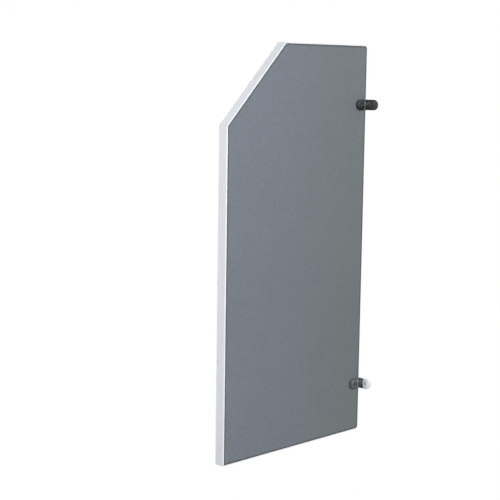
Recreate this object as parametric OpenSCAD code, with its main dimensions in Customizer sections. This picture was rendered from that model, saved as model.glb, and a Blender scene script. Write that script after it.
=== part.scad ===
// Privacy screen: a laminated, edge-banded board with one slanted corner, held to the wall by two
// angle brackets. The wall is the plane Y = 0, the screen stands out from it towards -Y, the
// brackets are on its +X face, and the origin is the centre of the edge that meets the wall.

/* [Panel] */
// Height of the panel
panel_h = 900; // [600:10:1200]
// Depth of the panel, out from the wall
panel_d = 450; // [350:10:600]
// Leg of the 45 degree cut at the top front corner
corner_cut = 175; // [80:5:250]
// Thickness of the finished board
panel_t = 25; // [24:1:32]
// Thickness of each decorative face sheet
sheet_t = 0.8; // [0.4:0.1:1.2]

/* [Edge bands] */
// Thickness of the bands
band_t = 2; // [1.8:0.1:3]
// Rounding of their long edges
band_r = 1.6; // [0.6:0.1:1.7]
// Rounding of the two corners at the wall
wall_corner_r = 8; // [3.5:0.5:12]

/* [Brackets] */
// Distance from the top of the panel to the middle of the upper bracket
upper_bracket_drop = 135; // [60:5:200]
// Distance from the bottom of the panel to the middle of the lower bracket
lower_bracket_rise = 112; // [60:1:200]
// Length of each leg, from the outside of the corner
bracket_leg = 36; // [34:1:50]
// Width of the strip
bracket_w = 24; // [22:1:28]
// Thickness at the middle of the strip
bracket_t = 4.5; // [4.2:0.1:6]
// Thickness at the edges of the strip
bracket_edge_t = 3; // [2.8:0.1:3.8]
// Radius inside the bend
bracket_bend_r = 3; // [2:0.5:5]
// Distance from the outside of the corner to the screw hole
bracket_hole_offset = 21; // [19:1:25]

/* [Screws] */
// Outer diameter of the thread
screw_d = 5; // [4.6:0.1:5.2]
// Diameter of the bare shank between the thread's ridges
screw_core_d = 3.5; // [3:0.1:4]
// Pitch of the thread
screw_pitch = 2.2; // [1.8:0.1:3]
// Diameter of the countersunk head
screw_head_d = 10; // [9:0.2:11]
// Width of a thread ridge at its foot
ridge_w = 1.3; // [0.8:0.1:1.6]
// Width of the cross recess
recess_w = 1.3; // [1:0.1:1.6]
// Diameter of the cross recess at the top of the head
recess_d = 5.2; // [4.4:0.2:6]
// Depth of the cross recess
recess_depth = 2.6; // [1.8:0.1:2.8]
// Length of the screws into the panel, head included
panel_screw_l = 20; // [16:1:22]
// Length of the screws into the wall, head included
wall_screw_l = 50; // [40:5:60]
// Extra depth of the holes in the board, beyond the tips of the screws
pilot_extra = 1; // [0.5:0.5:1.5]

/* [Wall plugs] */
// Diameter of the hole that a plug needs
plug_d = 8; // [7.8:0.1:10]
// Length of a plug
plug_l = 40; // [30:1:50]
// Length of the smooth neck at the mouth
plug_neck_l = 10; // [6:1:14]
// Distance from one barb to the next
plug_barb_pitch = 4; // [3:0.5:6]
// Length of the tapered nose
plug_nose_l = 4; // [2:0.5:6]
// Depth of the notches between the barbs
plug_barb_depth = 0.7; // [0.3:0.1:0.7]
// Width of the slot that lets a plug spread
plug_slot_w = 1; // [0.6:0.1:1.6]

/* [Fits] */
// Gap all round a screw in its holes
screw_clearance = 0.05; // [0.02:0.01:0.2]
// Depth of a head below the surface of its bracket
head_sink = 0.3; // [0.2:0.05:0.6]

/* [Hidden] */
$fn = 96;

laminate_grey = "#7b828a";
band_white = "#e6e8ec";
board_tan = "#b79a72";
bracket_dark = "#4a4d50";
screw_steel = "#6a6d70";
plug_grey = "#a8acad";

core_t = panel_t - 2 * sheet_t;
face_x = panel_t / 2;
top_z = panel_h / 2;
upper_z = top_z - upper_bracket_drop;
lower_z = -top_z + lower_bracket_rise;

// The edges of the outline, in order.
BOTTOM = 0;
REAR = 1;
TOP = 2;
SLANTED = 3;
FRONT = 4;
// The outline in (Y, Z), from the front bottom corner round to the slanted edge's front end.
outline = [
    [-panel_d, -top_z], [0, -top_z], [0, top_z],
    [-panel_d + corner_cut, top_z], [-panel_d, top_z - corner_cut]
];
// How far a corner at the slanted edge moves along the edge beside it when the bands come off.
slant_shift = band_t * tan(45 / 2);
// The same outline without the bands: the edge of the core and of the face sheets.
inner = [
    [-panel_d + band_t, -top_z + band_t], [-band_t, -top_z + band_t], [-band_t, top_z - band_t],
    [-panel_d + corner_cut + slant_shift, top_z - band_t],
    [-panel_d + band_t, top_z - corner_cut - slant_shift]
];
reach = panel_h + panel_d;  // longer than any edge

crown_rise = bracket_t - bracket_edge_t;
crown_r = (pow(bracket_w / 2, 2) + pow(crown_rise, 2)) / (2 * crown_rise);
end_r = bracket_w / 2;
bend_start = bracket_t + bracket_bend_r;
head_h = (screw_head_d - screw_d) / 2;  // a 90 degree countersink
hole_r = screw_d / 2 + screw_clearance;
head_top = bracket_t - head_sink;
tip_l = screw_d;  // length of a screw's point
cut = 1;  // how far a cutting shape runs past what it cuts

// ---- Panel ------------------------------------------------------------------------------------

// A shape drawn in (Y, Z), given a thickness in X from x0 to x1.
module slab(points, x0, x1) {
    translate([x0, 0, 0]) rotate([90, 0, 90]) linear_extrude(x1 - x0) polygon(points);
}

// The section across an edge: X across the board and Y inwards, with both corners rounded.
module edge_section() {
    translate([-face_x, band_r]) square([panel_t, reach]);
    translate([-face_x + band_r, 0]) square([panel_t - 2 * band_r, 2 * band_r]);
    for (side = [-1, 1]) translate([side * (face_x - band_r), band_r]) circle(band_r);
}

// Everything inside the edge from a to b.
module inside_edge(a, b) {
    turn = atan2(b[1] - a[1], b[0] - a[0]);
    translate([0, a[0], a[1]]) rotate([turn, 0, 0])
        translate([0, 2 * reach, 0]) rotate([90, 0, 0]) linear_extrude(3 * reach) edge_section();
}

// Puts a shape at the centre of the rounding of each corner at the wall.
module at_wall_corners() {
    centre = [0, -wall_corner_r, top_z - wall_corner_r];
    translate(centre) children();
    mirror([0, 0, 1]) translate(centre) children();
}

// The space that those corners have beyond the straight edges, from x0 to x1.
module wall_corner_space(x0, x1) {
    at_wall_corners() translate([x0, 0, 0]) cube([x1 - x0, reach, reach]);
}

// The side of the line through a and b that lies to the right, as an area in (Y, Z).
function right_of(a, b) =
    let (
        along = (b - a) / norm(b - a) * reach,
        right = [along[1], -along[0]]
    )
    [a - along, a - along + right, b + along + right, b + along];

// The space outside edge i of what the bands enclose.
module beyond_edge(i, margin) {
    slab(right_of(inner[i], inner[(i + 1) % len(inner)]), -face_x - margin, face_x + margin);
}

// The space past the mitre at the corner where edge corner starts, seen from edge i.
module beyond_mitre(corner, i) {
    line = corner == i ? [inner[corner], outline[corner]] : [outline[corner], inner[corner]];
    slab(right_of(line[0], line[1]), -face_x - 2 * cut, face_x + 2 * cut);
}

// The straight band along edge i. The edges in passed end it where it runs past them, it is
// mitred where the edges in mitres start, and the bands along the edges in stops cut it off.
module edge_band(i, passed = [], mitres = [], stops = []) {
    color(band_white) difference() {
        intersection() {
            intersection_for(j = concat([i], passed))
                inside_edge(outline[j], outline[(j + 1) % len(outline)]);
            beyond_edge(i, cut);
        }
        wall_corner_space(-panel_t, panel_t);
        for (corner = mitres) beyond_mitre(corner, i);
        for (stop = stops) beyond_edge(stop, 2 * cut);
    }
}

// A quarter turn of the band, about the X axis from +Y to +Z.
module band_turn() {
    color(band_white) rotate([90, 0, 90]) rotate_extrude(angle = 90) intersection() {
        translate([wall_corner_r, 0]) rotate(90) edge_section();
        translate([wall_corner_r - band_t, -face_x]) square([band_t, panel_t]);
    }
}

// What the bands enclose, from x0 to x1: the shape of the core and of the face sheets.
module enclosed(x0, x1) {
    difference() {
        slab(inner, x0, x1);
        wall_corner_space(x0 - cut, x1 + cut);
    }
    at_wall_corners() translate([x0, 0, 0]) rotate([0, 90, 0])
        cylinder(r = wall_corner_r - band_t, h = x1 - x0);
}

module core_board() {
    color(board_tan) difference() {
        enclosed(-core_t / 2, core_t / 2);
        panel_pilot_holes();
    }
}

module left_face_sheet() {
    color(laminate_grey) enclosed(-face_x, -core_t / 2);
}

module right_face_sheet() {
    color(laminate_grey) difference() {
        enclosed(core_t / 2, face_x);
        panel_pilot_holes();
    }
}

// Holes for the panel screws, through the face sheet and blind in the core.
module panel_pilot_holes() {
    depth = panel_screw_l - head_top + pilot_extra;
    for (z = [upper_z, lower_z])
        translate([face_x - depth, -bracket_hole_offset, z]) rotate([0, 90, 0])
            cylinder(r = hole_r, h = depth + cut);
}

// The bands are mitred at the two blunt corners, and the front band passes the bottom one.
module front_edge_band() edge_band(FRONT, passed = [BOTTOM], mitres = [FRONT]);
module slanted_edge_band() edge_band(SLANTED, mitres = [SLANTED, FRONT]);
module top_edge_band() edge_band(TOP, passed = [REAR], mitres = [SLANTED]);
module bottom_edge_band() edge_band(BOTTOM, passed = [REAR], stops = [FRONT]);

// The band at the wall turns both corners and meets the top and the bottom band there.
module rear_edge_band() {
    edge_band(REAR, passed = [TOP, BOTTOM]);
    at_wall_corners() band_turn();
}

// ---- Brackets ---------------------------------------------------------------------------------

// One leg beyond the bend, lying on Z = 0 along +X, with a crowned top and a round end.
module leg() {
    straight = bracket_leg - end_r - bend_start;
    crown_z = bracket_t - crown_r;
    difference() {
        union() {
            intersection() {
                translate([bend_start, -end_r, 0]) cube([straight, bracket_w, bracket_t]);
                translate([0, 0, crown_z]) rotate([0, 90, 0]) cylinder(r = crown_r, h = bracket_leg);
            }
            translate([bracket_leg - end_r, 0, 0]) intersection() {
                cylinder(r = end_r, h = bracket_t);
                translate([0, 0, crown_z]) sphere(crown_r);
            }
        }
        translate([bracket_hole_offset, 0, 0]) screw_hole();
    }
}

// A countersunk hole whose head seat is just under the top of the leg.
module screw_hole() {
    seat_r = screw_head_d / 2 + screw_clearance;
    seat_z = head_top - head_h;
    translate([0, 0, -cut]) cylinder(r = hole_r, h = bracket_t + 2 * cut);
    translate([0, 0, seat_z]) cylinder(r1 = hole_r, r2 = seat_r, h = head_h);
    translate([0, 0, head_top]) cylinder(r = seat_r, h = head_sink + cut);
}

// The quarter turn between the legs, about an axis along Z.
module bend() {
    rotate([0, 0, 90]) rotate_extrude(angle = 90) intersection() {
        translate([bracket_bend_r, -end_r]) square([bracket_t, bracket_w]);
        translate([bracket_bend_r + crown_r, 0]) circle(crown_r);
    }
}

// The whole bracket, with its corner where the panel's face meets the wall.
module bracket(z) {
    color(bracket_dark) translate([face_x, 0, z]) {
        rotate([90, 0, 0]) leg();
        rotate([-90, 0, -90]) leg();
        translate([bend_start, -bend_start, 0]) bend();
    }
}

module upper_bracket() bracket(upper_z);
module lower_bracket() bracket(lower_z);

// ---- Screws -----------------------------------------------------------------------------------

// Radius and height of a screw's outline: the point, the thread's ridges and the head.
function ridge(z) = [
    [screw_core_d / 2, z - ridge_w / 2],
    [screw_d / 2, z],
    [screw_core_d / 2, z + ridge_w / 2]
];
function screw_outline(l) = [
    [0, -l],
    [screw_core_d / 2, -l + tip_l],
    for (z = [-l + tip_l + screw_pitch / 2 : screw_pitch : -head_h - screw_pitch])
        each ridge(z),
    [screw_core_d / 2, -head_h - screw_pitch / 4],
    [screw_d / 2, -head_h],
    [screw_head_d / 2, 0],
    [0, 0]
];

// A countersunk screw of length l, with its head's top at Z = 0 and its point down.
module screw(l) {
    color(screw_steel) difference() {
        rotate_extrude() polygon(screw_outline(l));
        cross_recess();
    }
}

// The cross in a screw's head: two blades, narrowed downwards by a cone.
module cross_recess() {
    intersection() {
        for (turn = [0, 90]) rotate([0, 0, turn])
            translate([-recess_d, -recess_w / 2, -recess_depth])
                cube([2 * recess_d, recess_w, 2 * recess_depth]);
        translate([0, 0, -recess_depth])
            cylinder(r1 = recess_w / 2, r2 = recess_d / 2, h = recess_depth);
    }
}

module panel_screw(z) {
    translate([face_x + head_top, -bracket_hole_offset, z]) rotate([0, 90, 0]) screw(panel_screw_l);
}

module wall_screw(z) {
    translate([face_x + bracket_hole_offset, -head_top, z]) rotate([90, 0, 0]) screw(wall_screw_l);
}

module upper_panel_screw() panel_screw(upper_z);
module lower_panel_screw() panel_screw(lower_z);
module upper_wall_screw() wall_screw(upper_z);
module lower_wall_screw() wall_screw(lower_z);

// ---- Wall plugs -------------------------------------------------------------------------------

plug_r = plug_d / 2;
plug_barbs = floor((plug_l - plug_neck_l - plug_nose_l) / plug_barb_pitch);

// Radius and height of a plug's outside: the smooth neck, the barbs and the tapered nose.
plug_outline = [
    [hole_r, 0],
    [plug_r, 0],
    for (i = [0 : plug_barbs - 1]) let (z = plug_neck_l + i * plug_barb_pitch) each [
        [plug_r, z],
        [plug_r - plug_barb_depth, z + plug_barb_pitch / 8],
        [plug_r, z + plug_barb_pitch * 7 / 8]
    ],
    [plug_r, plug_l - plug_nose_l],
    [(plug_r + hole_r) / 2, plug_l],
    [hole_r, plug_l]
];

module wall_plug(z) {
    color(plug_grey) translate([face_x + bracket_hole_offset, 0, z]) rotate([-90, 0, 0]) difference() {
        rotate_extrude() polygon(plug_outline);
        translate([-plug_r - cut, -plug_slot_w / 2, plug_neck_l])
            cube([plug_d + 2 * cut, plug_slot_w, plug_l]);
    }
}

module upper_wall_plug() wall_plug(upper_z);
module lower_wall_plug() wall_plug(lower_z);

// ---- Nodes ------------------------------------------------------------------------------------

core_board();
left_face_sheet();
right_face_sheet();
front_edge_band();
slanted_edge_band();
top_edge_band();
rear_edge_band();
bottom_edge_band();
upper_bracket();
lower_bracket();
upper_panel_screw();
lower_panel_screw();
upper_wall_screw();
lower_wall_screw();
upper_wall_plug();
lower_wall_plug();
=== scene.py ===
"""The looks of a privacy screen: a grey board with pale edge bands, on two dark angle brackets.

Every size that the frame holds is read from its boxes. The others are named below, in metres.
X is across the board, towards the face that carries the brackets. Y points into the wall, Z up.
"""
import math

import bmesh
import bpy
from mathutils import Matrix, Vector


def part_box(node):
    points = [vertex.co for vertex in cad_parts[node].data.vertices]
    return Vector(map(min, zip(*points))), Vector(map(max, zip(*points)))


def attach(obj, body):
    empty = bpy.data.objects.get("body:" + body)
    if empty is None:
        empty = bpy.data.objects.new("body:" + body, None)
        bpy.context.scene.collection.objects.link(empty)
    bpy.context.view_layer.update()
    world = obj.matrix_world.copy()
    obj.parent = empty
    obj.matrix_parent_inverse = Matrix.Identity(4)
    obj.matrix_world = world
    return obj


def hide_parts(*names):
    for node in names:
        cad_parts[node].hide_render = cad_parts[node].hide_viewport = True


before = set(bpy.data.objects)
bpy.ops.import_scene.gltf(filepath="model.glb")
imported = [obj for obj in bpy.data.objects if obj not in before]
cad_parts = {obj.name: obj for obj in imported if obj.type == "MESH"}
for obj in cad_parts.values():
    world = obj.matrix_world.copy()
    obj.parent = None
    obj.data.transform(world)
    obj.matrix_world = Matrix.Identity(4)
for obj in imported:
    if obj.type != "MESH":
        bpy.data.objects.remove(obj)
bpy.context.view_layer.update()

MM = 0.001

# ---- Sizes ---------------------------------------------------------------------------------------

# The board: its face planes, its outline in (Y, Z) and its bands.
sheet_lo, sheet_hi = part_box("right_face_sheet")
front_lo, front_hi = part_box("front_edge_band")
rear_lo, rear_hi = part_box("rear_edge_band")
top_lo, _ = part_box("top_edge_band")
FACE_X = sheet_hi.x
SHEET_T = sheet_hi.x - sheet_lo.x
BAND_T = front_hi.y - front_lo.y
WALL_CORNER_R = rear_hi.y - rear_lo.y
BAND_R = 1.6 * MM
BOTTOM, REAR, TOP, SLANTED, FRONT = range(5)
OUTLINE = [
    Vector((front_lo.y, rear_lo.z)),
    Vector((rear_hi.y, rear_lo.z)),
    Vector((rear_hi.y, rear_hi.z)),
    Vector((top_lo.y, rear_hi.z)),
    Vector((front_lo.y, front_hi.z)),
]

# The brackets: a crowned strip, bent square, with round ends and one countersunk hole in each leg.
bracket_lo, bracket_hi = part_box("upper_bracket")
LEG_L = bracket_hi.x - bracket_lo.x
STRIP_W = bracket_hi.z - bracket_lo.z
STRIP_T = 4.5 * MM
STRIP_EDGE_T = 3.0 * MM
BEND_R = 3.0 * MM
RIM_R = 0.8 * MM
BACK_EASE = 0.25 * MM
HOLE_EASE = 0.2 * MM

# The screws and the plugs.
head_lo, head_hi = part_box("upper_panel_screw")
HOLE_AT = -(head_lo.y + head_hi.y) / 2
HEAD_R = (head_hi.y - head_lo.y) / 2
HEAD_TOP = head_hi.x - FACE_X
THREAD_R = 2.5 * MM
HEAD_H = HEAD_R - THREAD_R
HOLE_R = THREAD_R + 0.05 * MM
SEAT_R = HEAD_R + 0.05 * MM
RECESS_R = 2.6 * MM
RECESS_DEPTH = 2.6 * MM
SCREW = {
    "Tip Length": 5.0 * MM, "Core Radius": 1.75 * MM, "Thread Radius": THREAD_R,
    "Thread Pitch": 2.2 * MM, "Ridge Width": 1.3 * MM, "Ridge Crest": 0.15 * MM,
    "Head Radius": HEAD_R, "Head Height": HEAD_H, "Recess Width": 1.3 * MM,
    "Recess Radius": RECESS_R, "Recess Depth": RECESS_DEPTH,
}
plug_lo, plug_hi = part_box("upper_wall_plug")
PLUG = {
    "Length": plug_hi.y - plug_lo.y, "Outer Radius": (plug_hi.z - plug_lo.z) / 2,
    "Bore Radius": HOLE_R, "Neck Length": 10 * MM, "Barb Pitch": 4 * MM, "Barb Depth": 0.7 * MM,
    "Nose Length": 4 * MM, "Slot Width": 1 * MM,
}

EASE = 0.12 * MM        # how far the sharp edges of bands and sheets are taken off
SMOOTH_ANGLE = math.radians(32)

# How finely the roundings are drawn.
BAND_STEPS, CORNER_STEPS, HOLE_SIDES, TURNED_SIDES, HELIX_STEPS = 10, 12, 32, 48, 28
SIDE_STEPS, END_STEPS, CROSS_STEPS, BEND_STEPS = 16, 44, 20, 14
RIM_STEPS, BACK_STEPS, FACE_RINGS, BACK_RINGS = 8, 3, 10, 5

# ---- Meshes --------------------------------------------------------------------------------------


def put_in_scene(name, data):
    thing = bpy.data.objects.new(name, data)
    bpy.context.scene.collection.objects.link(thing)
    return thing


def finish_mesh(bm):
    """Joins what touches, turns the faces outwards and keeps only the real edges sharp."""
    bmesh.ops.remove_doubles(bm, verts=bm.verts, dist=0.0005 * MM)
    bmesh.ops.recalc_face_normals(bm, faces=bm.faces)
    for face in bm.faces:
        face.smooth = True
    for edge in bm.edges:
        edge.smooth = len(edge.link_faces) == 2 and edge.calc_face_angle() < SMOOTH_ANGLE


def ease_and_finish(bm):
    """Takes off the sharp edges of a closed shape and finishes it."""
    bmesh.ops.recalc_face_normals(bm, faces=bm.faces)
    sharp = [e for e in bm.edges if len(e.link_faces) == 2 and e.calc_face_angle() > SMOOTH_ANGLE]
    bmesh.ops.bevel(
        bm, geom=sharp, offset=EASE, segments=2, profile=0.5, affect="EDGES", clamp_overlap=True)
    finish_mesh(bm)


def made_by_modifier(mesh, kind, set_up):
    """A plain copy of the mesh with a modifier of that kind worked into it."""
    holder = put_in_scene(mesh.name, mesh)
    set_up(holder.modifiers.new(kind, kind))
    depsgraph = bpy.context.evaluated_depsgraph_get()
    made = bpy.data.meshes.new_from_object(holder.evaluated_get(depsgraph))
    holder.modifiers.clear()
    bpy.data.objects.remove(holder)
    return made


def weigh_by_area(modifier):
    """Lets a flat side keep its own normal where an eased edge or a rounding starts."""
    modifier.mode, modifier.weight, modifier.keep_sharp = "FACE_AREA", 50, True


def new_piece(name, mesh, material):
    """Puts a finished mesh in the scene, in place of the node of that name."""
    mesh = made_by_modifier(mesh, "WEIGHTED_NORMAL", weigh_by_area)
    piece = put_in_scene(name, mesh)
    mesh.materials.clear()
    mesh.materials.append(material)
    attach(piece, "root")
    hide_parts(name)


def mesh_of(bm, name):
    mesh = bpy.data.meshes.new(name)
    bm.to_mesh(mesh)
    bm.free()
    return mesh


def quads_between(bm, first, second, closed=False):
    """A strip of faces between two rows of vertices of the same length."""
    count = len(first)
    for i in range(count if closed else count - 1):
        j = (i + 1) % count
        corners = list(dict.fromkeys([first[i], first[j], second[j], second[i]]))
        if len(corners) > 2 and not bm.faces.get(corners):
            bm.faces.new(corners)


def arc(steps, start=0.0, end=math.pi / 2):
    """Evenly spaced angles or shares from start to end, with both of them."""
    return [start + (end - start) * i / steps for i in range(steps + 1)]


def middle_height(node):
    lo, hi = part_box(node)
    return (lo.z + hi.z) / 2


# ---- The board -----------------------------------------------------------------------------------

# Where the rear band turns round the two corners at the wall, as (corner, angle).
WALL_TURNS = [(REAR, a) for a in reversed(arc(CORNER_STEPS))] + [(TOP, a) for a in arc(CORNER_STEPS)]


def inward(edge):
    """The unit vector in (Y, Z) that points into the board from that edge."""
    along = (OUTLINE[(edge + 1) % 5] - OUTLINE[edge]).normalized()
    return Vector((-along.y, along.x))


def corner_at(corner, depth):
    """The corner where edge corner starts, with both its edges moved into the board by depth."""
    first, second = inward((corner - 1) % 5), inward(corner)
    return OUTLINE[corner] + (first + second) * depth / (1 + first.dot(second))


def wall_corner(corner):
    """The centre of the rounding of a corner at the wall, and 1 at the top or -1 at the bottom."""
    side = 1 if corner == TOP else -1
    return OUTLINE[corner] - Vector((WALL_CORNER_R, side * WALL_CORNER_R)), side


def wall_corner_at(corner, angle, depth):
    """A point on that rounding. angle is 0 where the rounding meets the wall."""
    centre, side = wall_corner(corner)
    return centre + (WALL_CORNER_R - depth) * Vector((math.cos(angle), side * math.sin(angle)))


def band_section():
    """The outside of a band as (X, depth) pairs, from one face of the board to the other."""
    half = [
        (FACE_X - BAND_R + BAND_R * math.cos(a), BAND_R - BAND_R * math.sin(a))
        for a in arc(BAND_STEPS)
    ]
    return half + [(-x, depth) for x, depth in reversed(half)]


def section_depth(x):
    """How deep the rounded long edges lie at that X."""
    past = max(0.0, abs(x) - (FACE_X - BAND_R))
    return BAND_R - math.sqrt(max(0.0, BAND_R ** 2 - past ** 2))


def band_stations(edge):
    """The stations of a band, each a function of X and depth that gives a point in (Y, Z)."""
    front, bottom = OUTLINE[BOTTOM]
    top, wall_start = OUTLINE[TOP].y, OUTLINE[REAR].x - WALL_CORNER_R
    return {
        FRONT: [
            lambda x, depth: corner_at(FRONT, depth),
            lambda x, depth: Vector((front + depth, bottom + section_depth(x))),
        ],
        SLANTED: [lambda x, depth: corner_at(SLANTED, depth), lambda x, depth: corner_at(FRONT, depth)],
        TOP: [
            lambda x, depth: Vector((wall_start, top - depth)),
            lambda x, depth: corner_at(SLANTED, depth),
        ],
        BOTTOM: [
            lambda x, depth: Vector((front + BAND_T, bottom + depth)),
            lambda x, depth: Vector((wall_start, bottom + depth)),
        ],
        REAR: [lambda x, depth, c=corner, a=angle: wall_corner_at(c, a, depth)
               for corner, angle in WALL_TURNS],
    }[edge]


def mark_band(bm, edge):
    """Gives each vertex its way along the band and its depth, for the band's finish."""
    way = bm.verts.layers.float_vector.new("way")
    start, inner = OUTLINE[edge], inward(edge)
    along = Vector((inner.y, -inner.x))
    for vert in bm.verts:
        point = Vector((vert.co.y, vert.co.z))
        depth = (point - start).dot(inner)
        if edge == REAR:
            for centre, side in map(wall_corner, (REAR, TOP)):
                if (point.y - centre.y) * side > 0:
                    depth = WALL_CORNER_R - (point - centre).length
        vert[way] = Vector(((point - start).dot(along), vert.co.x, depth))


def build_band(name, edge, material):
    """A band along one edge: its section swept from station to station, with its edges eased.

    Its vertices know how far they are from its two ends, as ends.
    """
    bm = bmesh.new()
    ends = bm.verts.layers.float_vector.new("ends")
    section, stations = band_section(), band_stations(edge)
    middle = [station(0.0, 0.0) for station in stations]
    run = [0.0]
    for start, end in zip(middle, middle[1:]):
        run.append(run[-1] + (end - start).length)
    rows = []
    for station, far in zip(stations, run):
        row = []
        for depths in ([d for _, d in section], [BAND_T] * len(section)):
            points = [station(x, d) for (x, _), d in zip(section, depths)]
            row.append([bm.verts.new((x, p.x, p.y)) for (x, _), p in zip(section, points)])
            for vert in row[-1]:
                vert[ends] = (far, run[-1] - far, 0)
        rows.append(row)
    for (outer, inner), (next_outer, next_inner) in zip(rows, rows[1:]):
        quads_between(bm, outer, next_outer)
        quads_between(bm, inner, next_inner)
        for side in (0, -1):
            bm.faces.new([outer[side], inner[side], next_inner[side], next_outer[side]])
    for outer, inner in (rows[0], rows[-1]):
        quads_between(bm, outer, inner)
    ease_and_finish(bm)
    mark_band(bm, edge)
    new_piece(name, mesh_of(bm, name), material)


def sheet_outline():
    """What the bands enclose, as points in (Y, Z)."""
    wall_side = [wall_corner_at(corner, angle, BAND_T) for corner, angle in WALL_TURNS]
    return [corner_at(BOTTOM, BAND_T), *wall_side, corner_at(SLANTED, BAND_T), corner_at(FRONT, BAND_T)]


def build_sheet(name, x_in, x_out, material, holes=()):
    """A face sheet from x_in, at the core, to x_out, with a hole at each (Y, Z) in holes."""
    bm = bmesh.new()
    rim = [HOLE_R * Vector((math.cos(a), math.sin(a))) for a in arc(HOLE_SIDES, 0, math.tau)[:-1]]
    edges = []
    for loop in [sheet_outline()] + [[centre + point for point in rim] for centre in holes]:
        verts = [bm.verts.new((x_in, p.x, p.y)) for p in loop]
        edges += [bm.edges.new((a, b)) for a, b in zip(verts, verts[1:] + verts[:1])]
    flat = bmesh.ops.triangle_fill(bm, use_beauty=True, use_dissolve=False, edges=edges)
    faces = [item for item in flat["geom"] if isinstance(item, bmesh.types.BMFace)]
    raised = bmesh.ops.extrude_face_region(bm, geom=faces, use_keep_orig=True)
    far_side = [item for item in raised["geom"] if isinstance(item, bmesh.types.BMVert)]
    bmesh.ops.translate(bm, verts=far_side, vec=(x_out - x_in, 0, 0))
    ease_and_finish(bm)
    new_piece(name, mesh_of(bm, name), material)


# ---- The brackets --------------------------------------------------------------------------------

HALF_W = STRIP_W / 2
CROWN_RISE = STRIP_T - STRIP_EDGE_T
CROWN_R = (HALF_W ** 2 + CROWN_RISE ** 2) / (2 * CROWN_RISE)
BEND_START = STRIP_T + BEND_R
END_AT = LEG_L - HALF_W
RIM_TILT = math.asin((HALF_W - RIM_R) / CROWN_R)
RIM_INSET = RIM_R * (1 - math.sin(RIM_TILT))


def strip_height(u, v):
    """The height of the crowned face at u along a leg and v across it."""
    off_centre = math.hypot(v, max(0.0, u - END_AT))
    return STRIP_T - CROWN_R + math.sqrt(CROWN_R ** 2 - off_centre ** 2)


def rim_profile():
    """The strip's rim as (inset, height) pairs, from the crowned face round to the flat back."""
    top = strip_height(0, HALF_W - RIM_INSET) - RIM_R * math.cos(RIM_TILT)
    rim = [(RIM_R * (1 - math.sin(a)), top + RIM_R * math.cos(a))
           for a in arc(RIM_STEPS, RIM_TILT, math.pi / 2)]
    rim += [(0, top * share + BACK_EASE * (1 - share)) for share in (0.66, 0.33)]
    return rim + [(BACK_EASE * (1 - math.cos(a)), BACK_EASE * (1 - math.sin(a))) for a in arc(BACK_STEPS)]


def leg_border(inset):
    """The border of a leg as (u, v) points: out along one side, round the end, back, and across."""
    half = HALF_W - inset
    sides = arc(SIDE_STEPS, BEND_START, END_AT)[:-1]
    border = [(u, half) for u in sides]
    ends = [math.pi / 2 - math.pi * i / END_STEPS for i in range(END_STEPS)]
    border += [(END_AT + half * math.cos(a), half * math.sin(a)) for a in ends]
    border += [(END_AT + BEND_START - u, -half) for u in sides]
    return border + [(BEND_START, -half + 2 * half * i / CROSS_STEPS) for i in range(CROSS_STEPS)]


def on_wall(u, v, h):
    return Vector((FACE_X + u, -h, v))


def on_board(u, v, h):
    return Vector((FACE_X + h, -u, v))


def in_bend(turn, v, h):
    """A point of the bend: turn is 0 at the leg on the wall and 1 at the leg on the board."""
    angle = math.pi / 2 * (1 + turn)
    radius = BEND_START - h
    x, y = BEND_START + radius * math.cos(angle), -BEND_START + radius * math.sin(angle)
    return Vector((FACE_X + x, y, v))


class StripMesh:
    """A bracket's mesh, whose vertices also know their place on the flat strip.

    strip is (u, v, h): u is below zero on the leg that lies on the board. inset is the distance
    to the strip's outline, and beside_hole the distance to the edge of the nearest countersink.
    """

    def __init__(self, centre_z):
        self.bm = bmesh.new()
        self.strip = self.bm.verts.layers.float_vector.new("strip")
        self.inset = self.bm.verts.layers.float.new("inset")
        self.beside_hole = self.bm.verts.layers.float.new("beside_hole")
        self.centre_z = centre_z

    def row(self, points, flat):
        made = []
        for point, (u, v, h) in zip(points, flat):
            vert = self.bm.verts.new((point.x, point.y, point.z + self.centre_z))
            vert[self.strip] = Vector((u, v, h))
            vert[self.inset] = HALF_W - math.hypot(v, max(0.0, abs(u) - END_AT))
            vert[self.beside_hole] = math.hypot(v, abs(u) - HOLE_AT) - SEAT_R
            made.append(vert)
        return made


def add_leg(shape, place, side):
    """One leg: its crowned face, its rim, its flat back and its countersunk hole."""
    def ring(uvs, heights):
        points = [place(u, v, h) for (u, v), h in zip(uvs, heights)]
        return shape.row(points, [(side * u, v, h) for (u, v), h in zip(uvs, heights)])

    def round_hole(border, radius):
        angles = [math.atan2(v, u - HOLE_AT) for u, v in border]
        return [(HOLE_AT + radius * math.cos(a), radius * math.sin(a)) for a in angles]

    def towards_hole(border, radius, height, steps):
        rows, inner = [], round_hole(border, radius)
        for f in arc(steps, 0, 1):
            uvs = [(a + (c - a) * f, b + (d - b) * f) for (a, b), (c, d) in zip(border, inner)]
            rows.append(ring(uvs, [height(u, v) for u, v in uvs]))
        return rows

    crowned = leg_border(RIM_INSET)
    front = towards_hole(crowned, SEAT_R + HOLE_EASE, strip_height, FACE_RINGS)
    lip = round_hole(crowned, SEAT_R)
    front.append(ring(lip, [strip_height(u, v) - HOLE_EASE for u, v in lip]))
    for radius, height in ((SEAT_R, HEAD_TOP), (HOLE_R, HEAD_TOP - HEAD_H), (HOLE_R, BACK_EASE)):
        front.append(ring(round_hole(crowned, radius), [height] * len(crowned)))
    back = towards_hole(leg_border(BACK_EASE), HOLE_R + BACK_EASE, lambda u, v: 0.0, BACK_RINGS)
    for rows in (front, back):
        for first, second in zip(rows, rows[1:]):
            quads_between(shape.bm, first, second, closed=True)
    quads_between(shape.bm, front[-1], back[-1], closed=True)
    round_end = SIDE_STEPS * 2 + END_STEPS + 1
    rim = [ring(leg_border(inset)[:round_end], [height] * round_end) for inset, height in rim_profile()]
    for first, second in zip(rim, rim[1:]):
        quads_between(shape.bm, first, second)


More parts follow.
